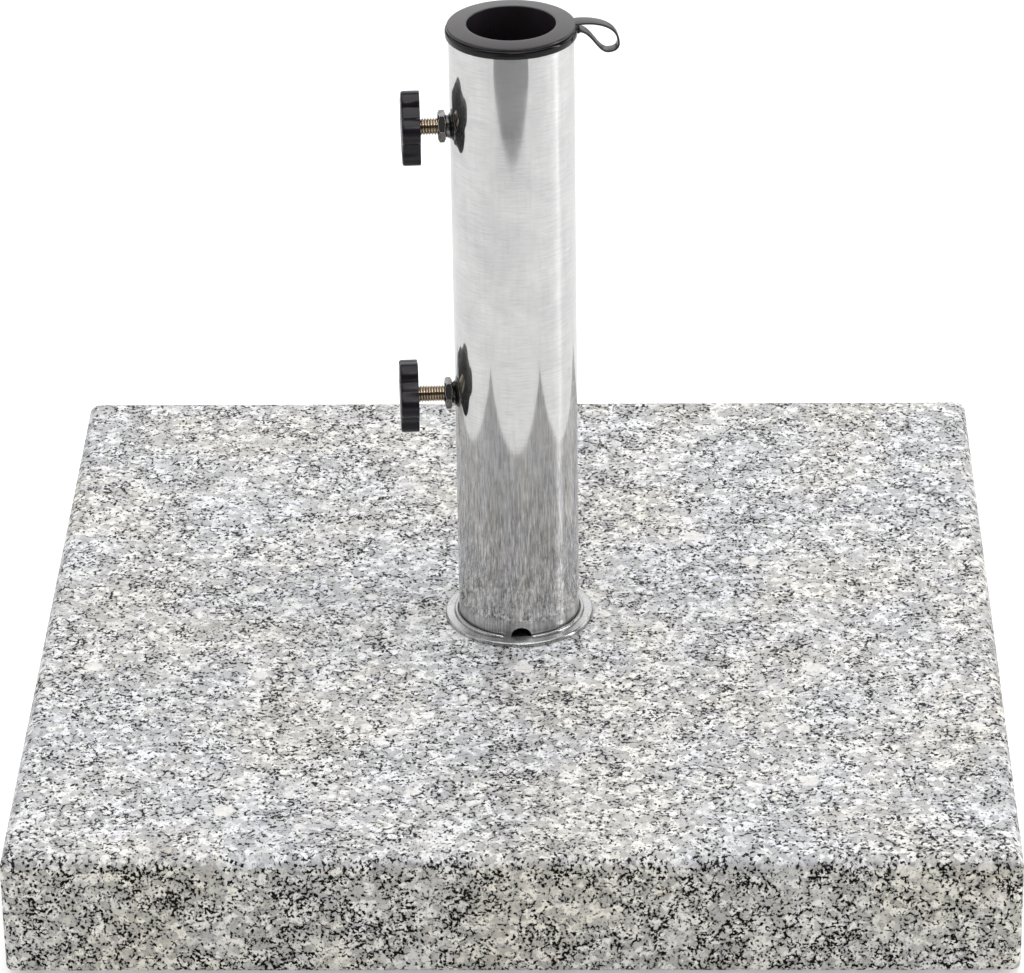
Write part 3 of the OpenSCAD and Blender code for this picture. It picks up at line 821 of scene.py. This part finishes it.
def build_knob(side, matrix):
    """The star knob: round a hub on its inner side, dished with a small button on its outer side."""
    outer, back = extent(f"{side}_knob", INWARD)
    around, edge, edge_steps, corner = 240, 1.2 * MM, 6, 0.25 * MM
    socket_r, hub_r, groove_r, groove = 4.0 * MM, 7.0 * MM, 10.5 * MM, 0.9 * MM
    dish_r, button_r = 9.6 * MM, 8.6 * MM
    first = lobe_angle(side, matrix)
    angles = [math.tau * i / around for i in range(around)]

    def star(inset, z, roundness=0.0, round_r=0.0):
        """The star's outline at one height, drawn in by inset, and part of the way to a circle."""
        loop = []
        for a in angles:
            r = (1 - roundness) * (knob_radius(a - first) - inset) + roundness * round_r
            loop.append((r * math.cos(a), r * math.sin(a), z))
        return loop

    loops = [
        # the screw's socket, the hub and the groove round it
        circle(socket_r, outer + 3.5 * MM, around),
        circle(socket_r, back - 0.5 * MM, around),
        circle(socket_r + 0.5 * MM, back, around),
        circle(hub_r - 0.5 * MM, back, around),
        circle(hub_r, back - groove, around),
        circle(groove_r, back - groove, around),
        circle(groove_r + 0.5 * MM, back, around),
        # the flat back and the upright side
        star(1.6 * MM, back),
        star(corner, back),
        star(0, back - corner),
        star(0, outer + edge),
    ]
    for k in range(1, edge_steps + 1):
        a = math.pi / 2 * k / edge_steps
        loops.append(star(edge * (1 - math.cos(a)), outer + edge * (1 - math.sin(a))))
    loops += [
        # the shallow dish and the button in its middle
        star(edge + 0.8 * MM, outer),
        star(0, outer + 0.25 * MM, 0.75, 11.2 * MM),
        circle(dish_r, outer + 0.9 * MM, around),
        circle(button_r, outer + 1.0 * MM, around),
        circle(button_r - 0.5 * MM, outer + 0.55 * MM, around),
        circle(button_r - 1.4 * MM, outer + 0.35 * MM, around),
        circle(3.0 * MM, outer + 0.15 * MM, around),
        circle(0.8 * MM, outer + 0.12 * MM, around),
    ]
    knob = make_object(f"{side}_star_knob", *loft(loops), KNOB_PLASTIC, sharp=40)
    place(knob, f"{side}_clamp", f"{side}_knob", "knob_plastic", matrix)


def build_screw(side, matrix):
    """The M8 screw with its plain point, and the pad on the point."""
    back = extent(f"{side}_knob", INWARD)[1]
    tip = extent(f"{side}_screw", INWARD)[1]
    point_start, point_r = tip - 2 * MM, 2.45 * MM
    thread = threaded_rod(3.95 * MM, M8_PITCH, back - 3 * MM, point_start, 0.5 * MM)
    point = loft(
        [
            circle(point_r, point_start - 0.5 * MM, 48),
            circle(point_r, tip - 0.3 * MM, 48),
            circle(2.1 * MM, tip, 48),
        ]
    )
    screw = make_object(f"{side}_screw_thread", *joined(thread, point), SCREW_STEEL, sharp=45)
    place(screw, f"{side}_clamp", f"{side}_screw", "screw_steel", matrix)

    low, high = extent(f"{side}_pressure_pad", INWARD)
    socket_r, pad_r, face = 2.55 * MM, 3.15 * MM, 0.8 * MM
    profile = filleted(
        [
            (0, high - face, 0),
            (socket_r, high - face, 0),
            (socket_r, low, 0.1 * MM),
            (pad_r, low, 0.25 * MM),
            (pad_r, high, 0.4 * MM),
            (0, high, 0),
        ],
        steps=4,
    )
    pad = make_object(f"{side}_pad_tip", *lathe(profile, 64), PAD_PLASTIC)
    place(pad, f"{side}_pad", f"{side}_pressure_pad", "pad_plastic", matrix)


def build_nut(side, matrix):
    """The hex nut and the weld that joins it to the tube."""
    face = extent(f"{side}_weld_nut", INWARD)[0]
    thickness, bore_r, countersink = 3.6 * MM, 4.1 * MM, 0.5 * MM
    back = face + thickness
    loops = [
        circle(bore_r + countersink, face, HEX_POINTS),
        *hex_loops(M8_FLATS, face, back, True, True),
        circle(bore_r, back, HEX_POINTS),
        circle(bore_r, face + countersink, HEX_POINTS),
    ]
    skin = loft(loops + [loops[0]], capped=False)
    nut = make_object(f"{side}_nut_hexagon", *skin, NUT_STEEL, sharp=25)
    place(nut, "stand", f"{side}_weld_nut", "nut_stainless", matrix)

    # the weld: a rough ring with the screw's hole, spreading where it meets the tube's round side
    around, hole_r = 96, 4.3 * MM
    top, bottom = back - 0.05 * MM, -TUBE_R + 0.3 * MM
    # radius in mm, and share of the way from the nut to the tube's wall
    rings = [(4.9, 0.0), (5.15, 0.25), (5.2, 0.5), (5.5, 0.75), (6.2, 0.92), (6.9, 1.05)]
    loops = [circle(hole_r, bottom, around), circle(hole_r, top, around)]
    for base_r, share in rings:
        loop = []
        for i in range(around):
            a = math.tau * i / around
            spot = Vector((math.cos(a), math.sin(a), share + (side == "upper")))
            lump = noise.fractal(spot * 2.2, 1.0, 2.0, 3)
            r = (base_r + 0.55 * lump * (0.3 + share)) * MM
            x, y = r * math.cos(a), r * math.sin(a)
            wall = -math.sqrt(TUBE_R**2 - y**2) + 0.1 * MM
            loop.append((x, y, top + (wall - top) * share))
        loops.append(loop)
    skin = loft(loops + [loops[0]], capped=False)
    weld = make_object(f"{side}_nut_weld", *skin, WELD_STEEL, sharp=60)
    place(weld, "stand", f"{side}_weld_nut", "nut_stainless", matrix)


# ------------------------------ collar, reducer and strap


def build_collar():
    """The collar pressed on the tube's mouth, and the small block that holds the strap's lower root."""
    low = extent("tube_collar", UP)[0]
    top = DISC_TOP - DISC_THICKNESS
    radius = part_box("tube_collar")[1].y
    rim_low = TUBE_RIM - 2.5 * MM
    gap, sleeve_r = 0.02 * MM, TUBE_R - TUBE_WALL - 0.05 * MM
    bore = sleeve_r - 1.35 * MM
    profile = filleted(
        [
            (bore, low, 0.3 * MM),
            (sleeve_r, low, 0.3 * MM),
            (sleeve_r, TUBE_RIM + gap, 0),
            (TUBE_R + gap, TUBE_RIM + gap, 0),
            (TUBE_R + gap, rim_low, 0.15 * MM),
            (radius - 0.15 * MM, rim_low, 0.5 * MM),
            (radius, rim_low + 1.6 * MM, 1.5 * MM),
            (radius - 0.05 * MM, top, 1.3 * MM),
            (bore, top, 0.2 * MM),
        ],
        steps=8,
    )
    collar = make_object("tube_collar_ring", *lathe(profile, 256), COLLAR_PLASTIC)
    place(collar, "stand", "tube_collar", "collar_plastic")

    outline = bar(radius - 1.2 * MM, radius + 1.0 * MM, 4 * MM, high_r=0.7 * MM, steps=5)
    lug_low, lug_top = rim_low + 0.5 * MM, top - 0.7 * MM
    # height, and how far the outline is drawn in there, in mm
    levels = [(lug_low, 0.4), (lug_low + 0.4 * MM, 0), (lug_top - 0.5 * MM, 0), (lug_top, 0.5)]
    loops = [[(x - inset * MM, y * (1 - 0.06 * inset), z) for x, y in outline] for z, inset in levels]
    lug = make_object("strap_lug", *loft(loops), COLLAR_PLASTIC)
    place(lug, "stand", "tube_collar", "collar_plastic", Matrix.Rotation(strap_turn(), 4, "Z"))


def strap_turn():
    """The angle of the strap about the tube's axis, read off the far end of the CAD strap."""
    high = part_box("tether_strap")[1]
    points = [v.co for v in frame["nodes"]["tether_strap"].data.vertices]
    far_end = [point for point in points if point.x > high.x - 1 * MM]
    centre = sum(far_end, Vector()) / len(far_end)
    return math.atan2(centre.y, centre.x)


def build_reducer():
    """The ring: a slightly domed disc over two short sleeves, with ribs between the sleeves."""
    low, top = extent("reducer_ring", UP)
    disc_r = radius_of("reducer_ring")
    disc_low, dome, wall = top - DISC_THICKNESS, 0.5 * MM, 1.9 * MM
    inner, outer = POLE_HOLE_R + wall, TUBE_R - TUBE_WALL - 1.45 * MM
    ceiling = disc_low - 0.6 * MM
    profile = filleted(
        [
            (POLE_HOLE_R, low, 0.3 * MM),
            (inner, low, 0.3 * MM),
            (inner, ceiling, 0.4 * MM),
            (outer - wall, ceiling, 0.4 * MM),
            (outer - wall, low, 0.3 * MM),
            (outer, low, 0.3 * MM),
            (outer, disc_low, 0),
            (disc_r, disc_low, 0.35 * MM),
            (disc_r, top, 0.75 * MM),
            (POLE_HOLE_R + 1.2 * MM, top + dome, 2 * MM),
            (POLE_HOLE_R, top + dome, 0.4 * MM),
        ],
        steps=7,
    )
    ring = lathe(profile, 256)

    rib_count, half_w, overlap = 8, 0.75 * MM, 0.3 * MM
    section = bar(inner - overlap, outer - wall + overlap, half_w)
    rib = loft([[(x, y, z) for x, y in section] for z in (low + 0.4 * MM, ceiling + overlap)])
    ribs = []
    for i in range(rib_count):
        turn = Matrix.Rotation(math.tau * (i + 0.5) / rib_count + TUBE_TURN, 4, "Z")
        ribs.append(moved(rib, turn))
    reducer = make_object("reducer_ring_body", *joined(ring, *ribs), RING_PLASTIC)
    place(reducer, "reducer", "reducer_ring", "collar_plastic")


def curve(control, steps):
    """Points along a cubic curve with four control points."""
    a, b, c, d = (Vector(point) for point in control)
    points = []
    for i in range(steps + 1):
        t = i / steps
        points.append(a * (1 - t) ** 3 + b * 3 * (1 - t) ** 2 * t + c * 3 * (1 - t) * t * t + d * t**3)
    return points


def strap_band(name, path, thickness, start_r, far_r):
    """A flat band along a path in the strap's upright plane, narrower at the loop's far end."""
    root_w, tip_w = 7.8 * MM, 5.2 * MM
    half_t = thickness / 2
    edge_r = half_t * 0.35
    loops = []
    for i, here in enumerate(path):
        before, after = path[max(i - 1, 0)], path[min(i + 1, len(path) - 1)]
        along = (after - before).normalized()
        normal = Vector((-along.y, along.x))
        share = min(1.0, max(0.0, (here.x - start_r) / (far_r - start_r)))
        half_w = (root_w + (tip_w - root_w) * share) / 2
        loop = []
        for off, across in bar(-half_t, half_t, half_w, edge_r, edge_r):
            loop.append((here.x + normal.x * off, across, DISC_TOP + here.y + normal.y * off))
        loops.append(loop)
    strap = make_object(name, *loft(loops), RING_PLASTIC, sharp=60)
    strap.data.transform(Matrix.Rotation(strap_turn(), 4, "Z"))
    return strap


def build_strap():
    """A flat strap from the disc's edge round a loop to the collar: two bands that meet at the far end."""
    way = Vector((math.cos(strap_turn()), math.sin(strap_turn()), 0))
    disc_r = radius_of("reducer_ring")
    far = extent("tether_strap", way)[1] + 0.2 * MM
    drop = DISC_TOP - extent("tether_strap", UP)[0] + 0.5 * MM
    thickness, steps = 0.9 * MM, 28
    start, end = disc_r - 0.9 * MM, disc_r + 1.0 * MM
    meeting, lowest = (far, -0.67 * drop), (far - 4.7 * MM, -drop)
    upper = [(start, -thickness / 2), (start + 9 * MM, 0.6 * MM), (far - 0.8 * MM, -0.12 * drop), meeting]
    turn = [meeting, (far + 0.6 * MM, -0.9 * drop), (far - 1.5 * MM, -drop), lowest]
    lower = [lowest, (far - 9.5 * MM, -drop), (end + 6 * MM, -0.26 * drop), (end, -0.26 * drop)]
    lower_path = curve(turn, steps) + curve(lower, steps)[1:]
    first = strap_band("strap_upper_half", curve(upper, steps), thickness, start, far)
    second = strap_band("strap_lower_half", lower_path, thickness, start, far)
    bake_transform(first)
    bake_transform(second)
    for band in (first, second):
        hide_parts("tether_strap")


# ------------------------------ stage, light and camera


def sheet(name, low, high, z, material):
    """A flat rectangle of the stage, from corner low (x, y) to corner high."""
    corners = [(low[0], low[1], z), (high[0], low[1], z), (high[0], high[1], z), (low[0], high[1], z)]
    made = make_object(name, corners, [(0, 1, 2, 3)], material)
    return made


def build_stage():
    """A white floor that glows a little, and a grey card that shows only in reflections."""
    look = Look("stage_floor")
    tone = look.ramp(look.noise(2.0, detail=1).outputs[0], [(0.3, grey(0.87)), (0.7, grey(0.89))])
    seen = look.range(look.node("ShaderNodeLightPath").outputs["Is Camera Ray"], 0, 1, 0.12, 0.3)
    matt = {"Roughness": 0.9, "Specular_IOR_Level": 0.1}
    top_side = look.principled(Base_Color=tone, Emission_Color=grey(1.0), Emission_Strength=seen, **matt)
    # the floor can be seen through from below
    underneath = look.node("ShaderNodeNewGeometry").outputs["Backfacing"]
    clear = look.node("ShaderNodeBsdfTransparent").outputs[0]
    size = 14.0
    sheet("floor", (-size, -size), (size, size), 0, look.done(look.blended(underneath, top_side, clear)))

    # a dark edge in front of the floor, seen only as a reflection in the tube
    dark = Look("stage_dark")
    dark_look = dark.done(dark.principled(Base_Color=grey(0.33), Roughness=0.9, Specular_IOR_Level=0.0))
    near, far, half = -0.712, -1.7, 0.45
    card = sheet("dark_card", (-half, far), (half, near), 2 * MM, dark_look)
    card.visible_camera = False
    card.visible_diffuse = False
    card.visible_shadow = False


def build_world():
    """An even white surround: full strength for the camera, weaker as light and weakest in reflections."""
    seen_strength, light_strength, mirror_strength = 1.0, 0.4, 0.12
    look = Look("studio", bpy.data.worlds)
    ray = look.node("ShaderNodeLightPath").outputs
    unseen = look.range(ray["Is Glossy Ray"], 0, 1, light_strength, mirror_strength)
    strength = look.range(ray["Is Camera Ray"], 0, 1, unseen, seen_strength)
    surround = look.node("ShaderNodeBackground", {"Color": grey(1.0), "Strength": strength})
    bpy.context.scene.world = look.done(surround.outputs[0], "ShaderNodeOutputWorld")


def add_light(name, place, target, width, height, power, shine_only=False):
    """A rectangular lamp that faces a target. Shine only: it shows in reflections and doesn't light."""
    data = bpy.data.lights.new(name, "AREA")
    data.shape = "RECTANGLE"
    data.size, data.size_y = width, height
    data.energy = power
    light = bpy.data.objects.new(name, data)
    light.location = place
    light.rotation_mode = "QUATERNION"
    light.rotation_quaternion = (Vector(target) - Vector(place)).to_track_quat("-Z", "Y")
    light.visible_camera = False
    light.visible_diffuse = not shine_only
    bpy.context.scene.collection.objects.link(light)


def build_lights():
    """Large soft lamps above and to the left, a narrow one on the right, and two that only shine."""
    middle = (0, 0, 0.15)
    add_light("overhead", (0.0, -0.1, 2.2), middle, 2.4, 2.0, 32)
    add_light("back_wall", (0.0, 2.6, 1.4), middle, 3.4, 1.9, 28, shine_only=True)
    add_light("left_soft", (-1.9, 0.1, 1.1), middle, 3.0, 1.2, 13.5)
    add_light("right_strip", (2.0, -0.11, 0.9), middle, 0.2, 1.8, 14)
    add_light("right_soft", (1.7, 1.0, 0.9), (1.1, 0.5, 0.0), 1.0, 0.8, 7)
    add_light("front_highlight", (0.4, -2.0, 2.7), middle, 1.2, 0.5, 14, shine_only=True)


def build_camera():
    """The photograph's viewing angle: from the front, looking down, with a long lens."""
    yaw, pitch, roll = (math.radians(a) for a in (-1.455, 27.563, -0.843))
    eye = Vector((0.0524, -2.1658, 1.2560 + SLAB_LOW.z))
    ahead = Vector((math.sin(yaw) * math.cos(pitch), math.cos(yaw) * math.cos(pitch), -math.sin(pitch)))
    level = Vector((math.cos(yaw), -math.sin(yaw), 0))
    lift = level.cross(ahead)
    right = level * math.cos(roll) + lift * math.sin(roll)
    up = lift * math.cos(roll) - level * math.sin(roll)
    data = bpy.data.cameras.new("camera")
    data.lens = 182.7
    data.sensor_width = 36
    data.clip_start, data.clip_end = 0.05, 50
    camera = bpy.data.objects.new("camera", data)
    turn = Matrix((right, up, -ahead)).transposed().to_4x4()
    camera.matrix_world = Matrix.Translation(eye) @ turn
    bpy.context.scene.collection.objects.link(camera)
    bpy.context.scene.camera = camera


# ------------------------------ build everything

build_slab()
build_feet()
build_anchor()
build_flange()
build_tube()
for side in ("upper", "lower"):
    matrix = screw_matrix(side)
    build_knob(side, matrix)
    build_screw(side, matrix)
    build_nut(side, matrix)
build_collar()
build_reducer()
build_strap()
build_stage()
build_world()
build_lights()
build_camera()
bpy.context.scene.view_settings.view_transform = "Standard"
